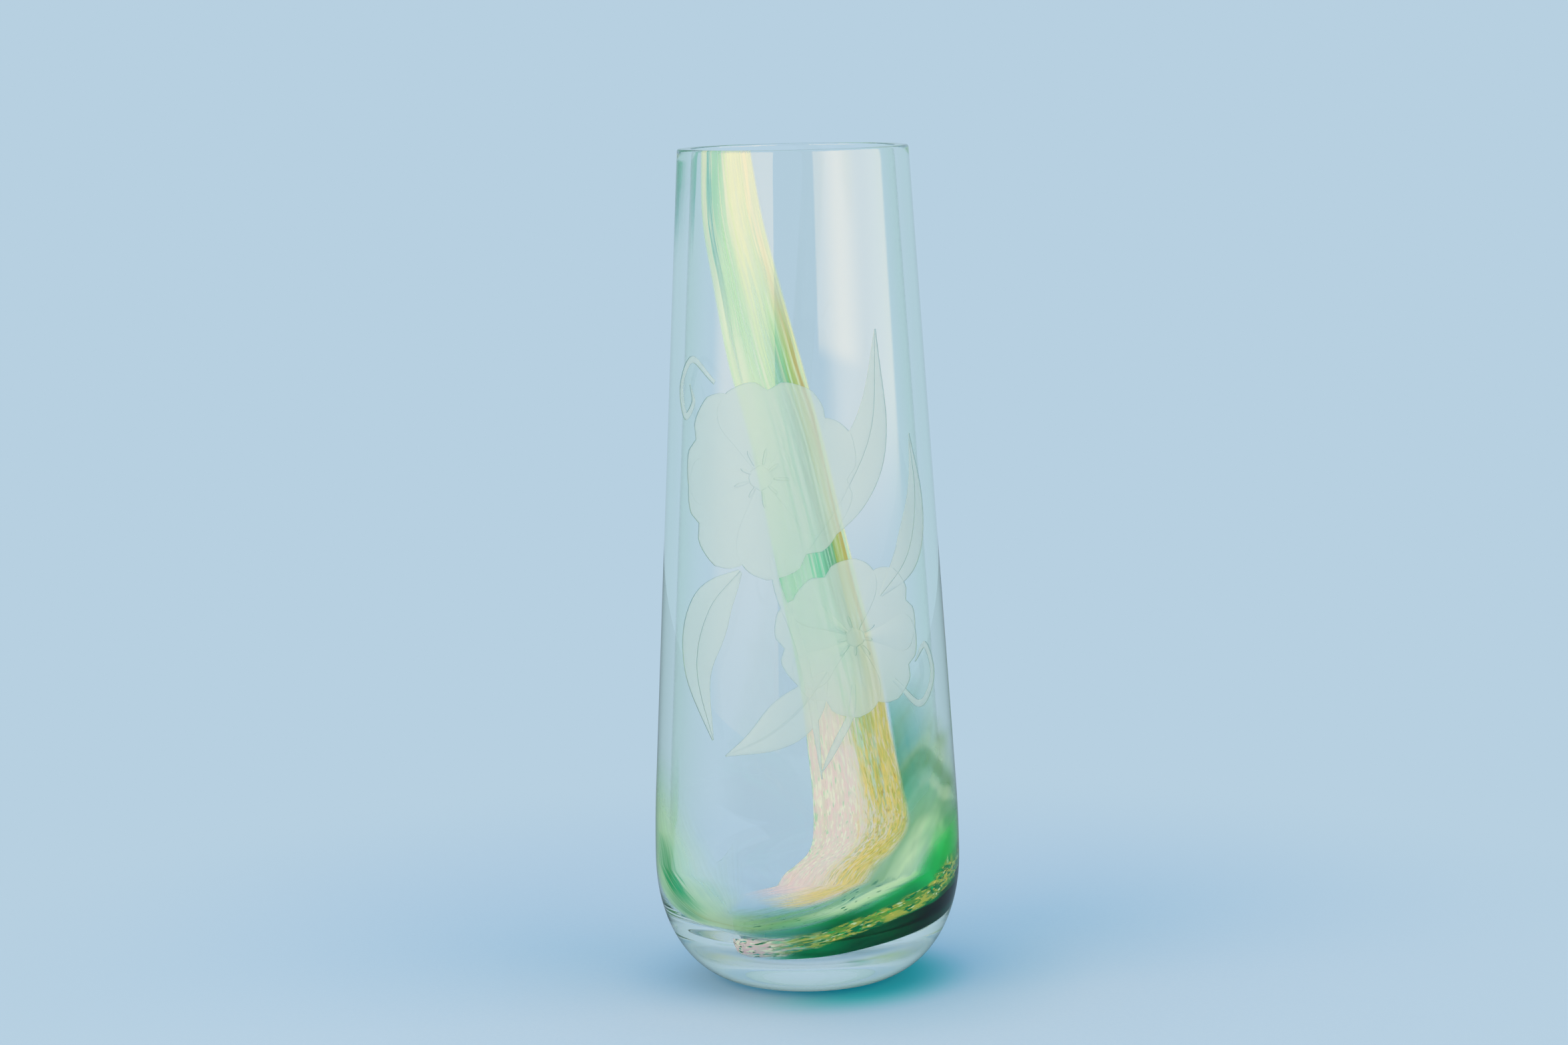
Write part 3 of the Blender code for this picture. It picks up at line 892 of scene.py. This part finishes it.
class VASE_OT_ribbon(bpy.types.Operator):
    """Lays the ribbon's three bands down the front wall"""

    bl_idname = "vase.ribbon"
    bl_label = "Ribbon"

    overlap = 0.03
    tones = (
        (0.0, BUTTER), (0.2, CELERY), (0.40, SEAFOAM), (0.54, PEARL), (0.76, PEARL), (0.9, ROSE), (1.0, ROSE)
    )
    streaks = (
        (SEA_GREEN, 0.38, 0.32, 0.30, 0.25, -0.2, 0.22, 0.7),
        (STRAW, 0.62, 0.46, 0.40, 0.16, -0.2, 0.30, 0.6),
        (SAGE, 0.84, 0.80, 0.76, 0.20, 0.10, 0.40, 0.7),
        (TEAL, 0.20, 0.08, 0.06, 0.06, -0.2, 0.20, 0.8),
        (SAGE, 0.45, 0.36, 0.34, 0.05, -0.2, 0.40, 0.6),
        (PEACH, 0.86, 0.92, 0.90, 0.07, -0.2, 0.16, 0.9),
        (SEA_GREEN, 0.58, 0.70, 0.62, 0.27, 0.17, 0.58, 0.95),
        (BOTTLE_GREEN, 0.66, 0.76, 0.66, 0.12, 0.20, 0.62, 0.85),
        (OCHRE, 0.90, 0.92, 0.86, 0.06, 0.14, 0.66, 0.8),
        (OLIVE, 0.84, 0.84, 0.80, 0.08, 0.14, 0.80, 0.75),
        (STRAW, 0.97, 0.98, 0.96, 0.03, 0.10, 0.75, 0.8),
        (GOLD, 0.85, 0.86, 0.92, 0.42, 0.50, 1.3, 0.85),
        (OLIVE, 0.90, 0.92, 0.92, 0.12, 0.46, 0.80, 0.5),
        (PEACH, 0.60, 0.60, 0.55, 0.18, 0.84, 1.3, 0.7),
        (OLIVE, 0.80, 0.68, 0.66, 0.07, 0.48, 0.72, 0.6),
        (SEA_GREEN, 0.01, 0.01, 0.01, 0.04, 0.24, 0.90, 0.6),
        (SAGE, 0.02, 0.02, 0.02, 0.06, -0.2, 0.30, 0.5),
    )
    densities = ((0.0, 0.44), (0.2, 0.42), (0.36, 0.56), (0.5, 0.72), (0.62, 0.86), (0.85, 0.8), (1.0, 0.5))
    half_limits = ((0.0, 0.5), (0.6, 0.5), (0.8, 0.60), (1.0, 0.82))
    softnesses = ((0.0, 0.04), (0.55, 0.05), (0.72, 0.20), (1.0, 0.50))

    def paint(self, name, seams, left_softness):
        laid = LaidGlass(name, width=26.0, length=225.0, seed=1.0)
        wiring, times, across = laid.wiring, laid.times, laid.across
        laid.lay(self.tones)
        laid.draw(self.streaks)
        laid.tint(times(laid.fine, 0.14), screen(CREAM))
        low = times(laid.fade(0.44, 0.60), laid.fade(0.98, 0.74))
        right_half = wiring.smooth(across, 0.38, 0.60)
        for flecks, half in (
            (((OLIVE, 0.45), (PEARL, 0.30), (OCHRE, 0.15), (GOLD, 0.4)), right_half),
            (((CREAM, 0.5), (ROSE, 0.5), (SAGE, 0.08)), wiring.minus(1.0, right_half)),
        ):
            laid.sprinkle(flecks, times(low, half, 0.65), 0.45, 2.4)
        density, half_limit, softness = (
            wiring.curve(laid.along, stops) for stops in (self.densities, self.half_limits, self.softnesses)
        )
        inside = wiring.over(wiring.minus(times(half_limit, 2.0), across), softness)
        right_edge = times(wiring.smooth(across, 0.50, 0.80), laid.fade(0.08, 0.20), 0.82)
        return laid.finish(
            wiring.most(density, right_edge), laid.edges(left_softness, HARD, 0.003, 0.14, 0.2),
            wiring.smooth(inside, 0.0, 1.0), wiring.minus(1.0, times(laid.fine, 0.2)),
            *(seam(laid, shares, side) for shares, side in seams), clearness=0.2, lamp_tint=(251, 254, 251),
        )

    def execute(self, context):
        route = (
            RIBBON_LEFT_ANGLES, RIBBON_RIGHT_ANGLES, RIBBON_LEFT_LEVEL_SHARES, RIBBON_RIGHT_LEVEL_SHARES
        )
        green, gold = edge_at(GREEN_EDGE_SHARES), edge_at(GOLD_EDGE_SHARES)
        overlap = self.overlap
        for name, slot, lift, left_softness, seams, left, right in (
            (
                "ribbon_green_band", "green_glass", 0.45 * MM, 0.10, ((GREEN_EDGE_SHARES, -1),),
                constant(0.0), lambda v: green(v) + overlap,
            ),
            (
                "ribbon_cream_band", "cream_glass", 0.65 * MM, HARD,
                ((GREEN_EDGE_SHARES, 1), (GOLD_EDGE_SHARES, -1)),
                lambda v: green(v) - overlap, lambda v: gold(v) + overlap,
            ),
            (
                "ribbon_gold_band", "gold_glass", 0.85 * MM, HARD, ((GOLD_EDGE_SHARES, 1),),
                lambda v: gold(v) - overlap, lambda v: 1 + 1.3 * max(0, v - 0.6),
            ),
        ):
            paint = self.paint(name, seams, left_softness)
            lay_strip(name, route, (left, right), lift, rows=220, material=paint)
        return {"FINISHED"}


class VASE_OT_swirl(bpy.types.Operator):
    """Lays the speckled trail, the dark band and the two veils round the base"""

    bl_idname = "vase.swirl"
    bl_label = "Swirl"

    width, length = 10.0, 115.0

    def execute(self, context):
        route = (SWIRL_ANGLES, SWIRL_ANGLES, DARK_LOW_SHARES, LIME_TOP_SHARES)

        def across(levels, shift=0.0):
            """The share across the swirl at which a row of levels lies, moved up by shift."""

            def edge(along):
                low, top = between(DARK_LOW_SHARES, along), between(LIME_TOP_SHARES, along)
                return (between(levels, along) - low) / (top - low) + shift

            return edge

        for name, slot, low, top, lift, start, paint in (
            (
                "dark_green_band", "dark_green_glass", across(DARK_LOW_SHARES),
                across(TRAIL_LOW_SHARES, 0.10), 0.50 * MM, 0.18, self.dark_paint,
            ),
            (
                "frit_trail", "speckled_glass", across(TRAIL_LOW_SHARES, -0.04),
                across(TRAIL_TOP_SHARES, 0.05), 0.90 * MM, 0.0, self.trail_paint,
            ),
            (
                "emerald_veil", "emerald_glass", across(TRAIL_TOP_SHARES, -0.15),
                across(EMERALD_TOP_SHARES, 0.08), 0.60 * MM, 0.10, self.emerald_paint,
            ),
            (
                "lime_veil", "lime_glass", across(EMERALD_TOP_SHARES, -0.20),
                lambda v: across(LIME_TOP_SHARES)(v) + 1.0 - v, 0.40 * MM, 0.08, self.lime_paint,
            ),
        ):
            lay_strip(name, route, (low, top), lift, rows=180, material=paint(name), start=start)
        return {"FINISHED"}

    def dark_paint(self, name):
        laid = LaidGlass(name, width=self.width, length=self.length, seed=21.0)
        laid.lay(
            ((0.2, SEA_GREEN), (0.30, EMERALD), (0.42, DEEP_GREEN), (0.58, INK_GREEN), (1.0, INK_GREEN)),
            ((0.2, TEAL), (0.30, DEEP_GREEN), (0.44, INK_GREEN), (0.6, NIGHT_GREEN), (1.0, NIGHT_GREEN)), 0.8,
        )
        laid.draw(((EMERALD, 0.84, 0.84, 0.80, 0.14, 0.30, 1.3, 0.8),), laid.band)
        masks = laid.edges(0.04, 0.15, HARD, HARD, 0.2), laid.fade(0.17, 0.28), laid.fade(0.98, 0.66)
        return laid.finish(*masks, clearness=0.9, lamp_tint=(230, 244, 236))

    def trail_paint(self, name):
        laid = LaidGlass(name, width=self.width, length=self.length, seed=13.0)
        laid.lay(
            ((0.0, ROSE), (0.15, ROSE), (0.25, SAGE), (0.36, MOSS), (0.6, MOSS), (1.0, BOTTLE_GREEN)),
            (
                (0.0, PEARL), (0.18, PEARL), (0.25, TEAL), (0.34, DEEP_GREEN), (0.6, DEEP_GREEN),
                (1.0, EMERALD),
            ),
        )
        tip = laid.fade(0.34, 0.18)
        rest = laid.wiring.minus(1.0, tip)
        laid.sprinkle(((ROSE, 0.5), (CREAM, 0.4), (DEEP_GREEN, 0.22), (TEAL, 0.12)), tip, 0.5, 2.6)
        laid.sprinkle(((OLIVE, 0.5), (DEEP_GREEN, 0.35)), rest, 0.7, 5.0)
        laid.seed += 20
        fine_flecks = ((EMERALD, 0.2), (GOLD, 0.10), (DEEP_GREEN, 0.3), (OLIVE, 0.3), (CELERY, 0.06))
        laid.sprinkle(fine_flecks, rest, 0.3, 1.7)
        masks = laid.edges(0.20, 0.28, 0.03, 0.30, 0.7), 0.95
        return laid.finish(*masks, clearness=0.1, lamp_tint=(242, 248, 240))

    def emerald_paint(self, name):
        laid = LaidGlass(name, width=self.width, length=self.length, seed=31.0)
        laid.lay(
            ((0.1, SAGE), (0.22, SEA_GREEN), (0.34, EMERALD), (0.5, JADE), (1.0, JADE)),
            (
                (0.1, SEA_GREEN), (0.25, TEAL), (0.36, DEEP_GREEN), (0.5, DEEP_GREEN), (0.62, JADE),
                (1.0, SEA_GREEN),
            ), 0.8,
        )
        masks = laid.edges(0.12, 0.36, HARD, HARD, 0.3), laid.fade(0.08, 0.36), laid.fade(0.84, 0.66), 0.97
        return laid.finish(*masks, clearness=0.7, lamp_tint=(244, 252, 248))

    def lime_paint(self, name):
        laid = LaidGlass(name, width=self.width, length=self.length, seed=41.0)
        laid.lay(
            ((0.1, SAGE), (0.25, FERN), (0.5, FERN), (1.0, FERN)),
            ((0.1, OLIVE), (0.3, SEA_GREEN), (0.5, SAGE), (0.7, SAGE), (1.0, SAGE)), 0.6,
        )
        laid.draw(
            (
                (OLIVE, 0.8, 0.74, 0.7, 0.12, 0.3, 0.8, 0.4), (LIME, 0.36, 0.34, 0.26, 0.12, 0.3, 1.0, 0.95),
                (CELERY, 0.60, 0.56, 0.46, 0.04, 0.45, 1.0, 0.8),
                (CELERY, 0.74, 0.70, 0.62, 0.04, 0.5, 1.0, 0.6),
                (MOSS, 0.66, 0.63, 0.54, 0.04, 0.45, 1.0, 0.8),
            ),
            laid.band,
        )
        laid.sprinkle(((DEEP_GREEN, 0.08),), laid.fade(0.55, 0.40), 0.3, 1.8)
        masks = laid.edges(0.3, 0.70, HARD, HARD, 0.3), laid.fade(0.02, 0.26), laid.fade(0.88, 0.70), 0.85
        return laid.finish(*masks, clearness=0.4, lamp_tint=(250, 254, 248))


class VASE_OT_side_veils(bpy.types.Operator):
    """Lays the teal veil beside the ribbon, the green veil up the left wall and the streak at the rim"""

    bl_idname = "vase.side_veils"
    bl_label = "Side veils"

    lift = 0.15 * MM
    lamp_tint = (246, 252, 250)

    def execute(self, context):
        rim = ((-104, -102, -100), (-70, -77, -88), (1.985, 1.90, 1.81), (1.985, 1.90, 1.81))
        teal = (TEAL_LEFT_ANGLES, TEAL_RIGHT_ANGLES, TEAL_LEFT_LEVEL_SHARES, TEAL_RIGHT_LEVEL_SHARES)
        left = (
            LEFT_VEIL_OUTER_ANGLES, LEFT_VEIL_INNER_ANGLES, LEFT_VEIL_OUTER_LEVEL_SHARES,
            LEFT_VEIL_INNER_LEVEL_SHARES,
        )
        for name, route, band, slot, paint in (
            ("rim_streak", rim, (constant(0.0), constant(1.0)), "teal_glass", self.rim_paint),
            ("teal_veil", teal, (lambda v: -0.15 - 0.55 * v, constant(1.1)), "teal_glass", self.teal_paint),
            (
                "left_green_veil", left,
                (lambda v: -0.25 - 0.3 * max(0, v - 0.6), lambda v: 1.7 + 2.0 * max(0, v - 0.4)),
                "green_glass", self.green_paint,
            ),
        ):
            lay_strip(
                name, route, band, self.lift, rows=100, material=paint(name), replaced=route is not rim
            )
        return {"FINISHED"}

    def rim_paint(self, name):
        laid = LaidGlass(name, width=10.0, length=38.0, seed=71.0)
        laid.lay(((0.0, SEA_GREEN), (0.5, TEAL), (1.0, SAGE)), ((0.0, TEAL), (1.0, SAGE)), 0.4)
        masks = laid.edges(0.10, 0.5, 0.02, 0.8, 0.2), 0.8
        return laid.finish(*masks, clearness=0.9, lamp_tint=self.lamp_tint)

    def teal_paint(self, name):
        laid = LaidGlass(name, width=16.0, length=58.0, seed=51.0)
        laid.lay(((0.0, SAGE), (0.5, TEAL), (0.8, SEA_GREEN), (1.0, SAGE)), ((0.0, MINT), (1.0, SAGE)), 0.25)
        masks = laid.edges(0.06, 0.95, 0.6, 0.35, 0.0), 0.9
        return laid.finish(*masks, clearness=0.95, lamp_tint=self.lamp_tint)

    def green_paint(self, name):
        laid = LaidGlass(name, width=18.0, length=100.0, seed=61.0)
        laid.lay(
            ((0.0, MINT), (0.22, PALE_LIME), (0.4, PALE_LIME), (0.55, LIME), (0.75, CELERY), (1.0, SAGE)),
            ((0.0, STRAW), (0.15, LIME), (0.38, MINT), (0.55, SAGE), (0.7, LIME), (1.0, OLIVE)), 0.5,
        )
        laid.draw(
            (
                (LIME, 0.1, 0.1, 0.1, 0.2, -0.2, 0.4, 0.6), (OLIVE, 0.3, 0.3, 0.3, 0.12, 0.55, 1.3, 0.4),
                (EMERALD, 0.60, 0.48, 0.5, 0.32, 0.34, 0.58, 1.0),
                (BOTTLE_GREEN, 0.1, 0.1, 0.1, 0.3, 0.52, 0.66, 0.7),
            )
        )
        masks = laid.edges(0.10, 0.75, 0.3, 0.22, 0.05), 0.72
        return laid.finish(*masks, clearness=0.6, lamp_tint=self.lamp_tint)


def seen_rays(wiring):
    """1 for the rays by which the backdrop is seen, straight, in a reflection or through glass."""
    path = wiring.add("LightPath").outputs
    seen = wiring.most(wiring.most(path["Is Camera Ray"], path["Is Glossy Ray"]), path["Is Transmission Ray"])
    return wiring.times(seen, wiring.math("LESS_THAN", path["Diffuse Depth"], 0.5))


def mirrored_rays(wiring):
    """1 for the rays that the glass's outside mirrors without letting them in."""
    path = wiring.add("LightPath").outputs
    return wiring.times(path["Is Glossy Ray"], wiring.math("LESS_THAN", path["Transmission Depth"], 0.5))


def hang_lamp(name, colour, radiance, width, tall, spot, aim_height):
    """An area lamp that faces the vase's axis at aim_height, seen only where the glass mirrors it."""
    light = bpy.data.lights.new(name, "AREA")
    light.shape = "RECTANGLE"
    light.size, light.size_y = width, tall
    light.energy = radiance * width * tall * math.pi
    light.color = tuple(colour)[:3]
    lamp = new_object(name, light)
    lamp.location = spot
    lamp.rotation_euler = (Vector((0, 0, aim_height)) - spot).to_track_quat("-Z", "Y").to_euler()
    lamp.visible_camera = lamp.visible_transmission = False
    return lamp


class VASE_OT_stage(bpy.types.Operator):
    """Puts the vase on pale cloth with a plain backdrop, soft lamps and the camera"""

    bl_idname = "vase.stage"
    bl_label = "Stage"

    cloth_radius, cloth_sides = 0.95, 48
    cloth_drop = 0.2 * MM
    weave_scale, weave_share = 900.0, 0.08
    backdrop_reach = (0.06, 0.30)
    dimming = 0.6
    shade_way = (0.85, -0.35, 0)
    lamp_distance = 1.15
    key_size = 0.6
    key_angle, key_distance, key_height = math.radians(-50), 0.86, 0.60
    lens, sensor = 85, 36
    camera_distance, camera_height = 1.053, 0.273
    roll, pitch, yaw = -0.0218, -0.1325, -0.0045
    clear_bounces, mirror_bounces = 160, 64

    def execute(self, context):
        scene = context.scene
        stage = scene.vase_stage
        self.lay_cloth(stage)
        for name, azimuths, heights, radiance, fades, low, rise, lean in (
            ("left_softbox", (-83, -19), (-0.14, 1.1), stage.left_radiance, (0.30, 0.02), 0.06, 0.40, 0.0),
            ("right_softbox", (18, 68), (0.176, 1.0), stage.right_radiance, (0.05, 0.55), 0.0, 0.015, 0.037),
            ("side_softbox", (20, 98), (0.04, 1.0), stage.side_radiance, (0.35, 0.08), 0.0, 0.12, 0.0),
        ):
            lamp = self.hang_softbox(stage, name, azimuths, heights, radiance, fades, low, rise, lean)
            # The narrow softbox is only mirrored, because it would wash out the key's shadow
            lamp.visible_diffuse = name != "right_softbox"
        spot = place(self.key_angle, self.key_distance, self.key_height)
        key = hang_lamp("key", stage.key_colour, stage.key_radiance, self.key_size, self.key_size, spot, 0.0)
        key.visible_glossy = False
        self.light_world(scene, stage)
        self.set_camera(scene)
        scene.view_settings.view_transform = "Standard"
        scene.cycles.max_bounces = scene.cycles.transmission_bounces = self.clear_bounces
        scene.cycles.glossy_bounces = scene.cycles.transparent_max_bounces = self.mirror_bounces
        return {"FINISHED"}

    def lay_cloth(self, stage):
        """A round cloth that turns into the plain backdrop away from the vase, with painted teal shade and
        painted green light round the foot.
        """
        shape = bmesh.new()
        bmesh.ops.create_circle(shape, cap_ends=True, radius=self.cloth_radius, segments=self.cloth_sides)
        material, wiring, shader = new_material("pale_cloth")
        spot = wiring.add("NewGeometry").outputs["Position"]
        weave = wiring.times(wiring.noise(spot, self.weave_scale, 2.0), self.weave_share)
        colour = wiring.mix(weave, tuple(stage.cloth_colour), (1, 1, 1, 1))
        away = wiring.add("VectorMath", {0: spot}, operation="LENGTH").outputs["Value"]
        side = wiring.over(wiring.dot(spot, self.shade_way), wiring.plus(away, MM))
        # Painted shade and painted light: the cloth's colour is mixed towards teal round the foot, in place
        # of the shade and the green light that the glass throws there
        for reach, turned, tone, share in (
            ((0.062, 0.028), (-2.0, -1.0), PAINTED_TEAL_SHADE, 0.30), ((0.090, 0.034), (0.0, 0.9), PAINTED_TEAL_SHADE, 0.40),
            ((0.050, 0.028), (-0.35, 0.75), PAINTED_TEAL_LIGHT, 0.92),
        ):
            near = wiring.times(wiring.smooth(away, *reach), wiring.smooth(side, *turned), share)
            colour = wiring.mix(near, colour, screen(tone))
        wiring.feed_all(shader, Base_Color=colour, Roughness=0.9, Specular_IOR_Level=0.2)
        backdrop = wiring.add("Emission", {"Color": tuple(stage.backdrop_colour)})
        dim = wiring.add("Emission", {"Color": tuple(stage.room_colour)})
        share = wiring.times(wiring.smooth(away, *self.backdrop_reach), seen_rays(wiring))
        mixed = wiring.blend(share, shader, backdrop)
        wiring.show(wiring.blend(wiring.times(mirrored_rays(wiring), self.dimming), mixed, dim))
        cloth = new_object("cloth", mesh_from("cloth", shape), material)
        cloth.location.z = -self.cloth_drop

    def hang_softbox(self, stage, name, azimuths, heights, radiance, fades, low, rise, lean):
        """A softbox that fades at its sides and brightens from low at its foot over a rise in metres.

        Its bright part leans: it starts lower at the right than at the left by lean, in metres.
        """
        middle, half = math.radians(sum(azimuths) / 2), math.radians(azimuths[1] - azimuths[0]) / 2
        width, tall = 2 * self.lamp_distance * math.tan(half), heights[1] - heights[0]
        centre = sum(heights) / 2
        spot = place(middle, self.lamp_distance, centre)
        lamp = hang_lamp(name, stage.lamp_colour, radiance, width, tall, spot, centre)
        lamp.data.use_nodes = True
        wiring = Wiring(lamp.data.node_tree)
        spot = wiring.add("NewGeometry").outputs["Position"]
        along = wiring.dot(spot, (math.cos(middle), math.sin(middle), 0))
        across = wiring.plus(wiring.over(along, width), 0.5)
        up = wiring.plus(wiring.split(spot)[2], wiring.times(wiring.minus(across, 1.0), lean))
        strength = wiring.smooth(up, heights[0], heights[0] + rise)
        strength = wiring.plus(wiring.times(strength, 1 - low), low)
        for share, fade in zip((across, wiring.minus(1.0, across)), fades):
            strength = wiring.times(strength, wiring.smooth(share, 0.0, fade))
        wiring.feed(wiring.tree.nodes["Emission"].inputs["Strength"], strength)
        return lamp

    def light_world(self, scene, stage):
        """Even light from all round, seen as the plain backdrop. The room in front mirrors dark."""
        scene.world = bpy.data.worlds.new("studio")
        scene.world.use_nodes = True
        wiring = Wiring(scene.world.node_tree)
        ambient = wiring.tree.nodes["Background"]
        wiring.feed_all(ambient, Color=tuple(stage.ambient_colour), Strength=stage.ambient)
        way = wiring.split(wiring.add("TexCoord").outputs["Generated"])[1]
        room = wiring.times(wiring.smooth(way, 0.1, -0.5), mirrored_rays(wiring))
        colour = wiring.mix(room, tuple(stage.backdrop_colour), tuple(stage.room_colour))
        backdrop = wiring.add("Background", {"Color": colour})
        wiring.show(wiring.blend(seen_rays(wiring), ambient, backdrop), "World Output")

    def set_camera(self, scene):
        pitch, yaw, roll = self.pitch, self.yaw, self.roll
        ahead = Vector((math.sin(yaw) * math.cos(pitch), math.cos(yaw) * math.cos(pitch), math.sin(pitch)))
        right = Vector((math.cos(yaw), -math.sin(yaw), 0))
        up = right.cross(ahead)
        rolled_right = right * math.cos(roll) + up * math.sin(roll)
        rolled_up = up * math.cos(roll) - right * math.sin(roll)
        turn = Matrix((rolled_right, rolled_up, -ahead)).transposed().to_4x4()
        data = bpy.data.cameras.new("camera")
        data.lens, data.sensor_width = self.lens, self.sensor
        scene.camera = new_object("camera", data)
        scene.camera.matrix_world = Matrix.Translation((0, -self.camera_distance, self.camera_height)) @ turn


class VASE_PT_panel(bpy.types.Panel):
    """Lists the vase's sizes and steps"""

    bl_label = "Glass Vase"
    bl_idname = "VASE_PT_panel"
    bl_space_type = "VIEW_3D"
    bl_region_type = "UI"
    bl_category = "Glass Vase"

    def draw(self, context):
        for group in (context.scene.vase_body, context.scene.vase_stage):
            box = self.layout.box()
            for key in group.__annotations__:
                box.prop(group, key)
        for step in STEPS:
            self.layout.operator(step.bl_idname)


STEPS = (
    VASE_OT_clear_body, VASE_OT_flower_spray, VASE_OT_seed_bubble, VASE_OT_ribbon, VASE_OT_swirl,
    VASE_OT_side_veils, VASE_OT_stage,
)
GROUPS = (
    build_pulled_streaks, build_drawn_streak, build_crushed_flecks, build_feathered_edges,
    build_handling_marks,
)
CLASSES = (VaseBodySettings, StageSettings, *STEPS, VASE_PT_panel)


def register():
    for item in CLASSES:
        bpy.utils.register_class(item)
    bpy.types.Scene.vase_body = bpy.props.PointerProperty(type=VaseBodySettings)
    bpy.types.Scene.vase_stage = bpy.props.PointerProperty(type=StageSettings)


def unregister():
    del bpy.types.Scene.vase_stage
    del bpy.types.Scene.vase_body
    for item in reversed(CLASSES):
        bpy.utils.unregister_class(item)


def main():
    register()
    for build_group in GROUPS:
        build_group()
    bpy.ops.vase.clear_body()
    bpy.ops.vase.flower_spray()
    bpy.ops.vase.seed_bubble()
    bpy.ops.vase.ribbon()
    bpy.ops.vase.swirl()
    bpy.ops.vase.side_veils()
    bpy.ops.vase.stage()


if __name__ == "__main__":
    main()
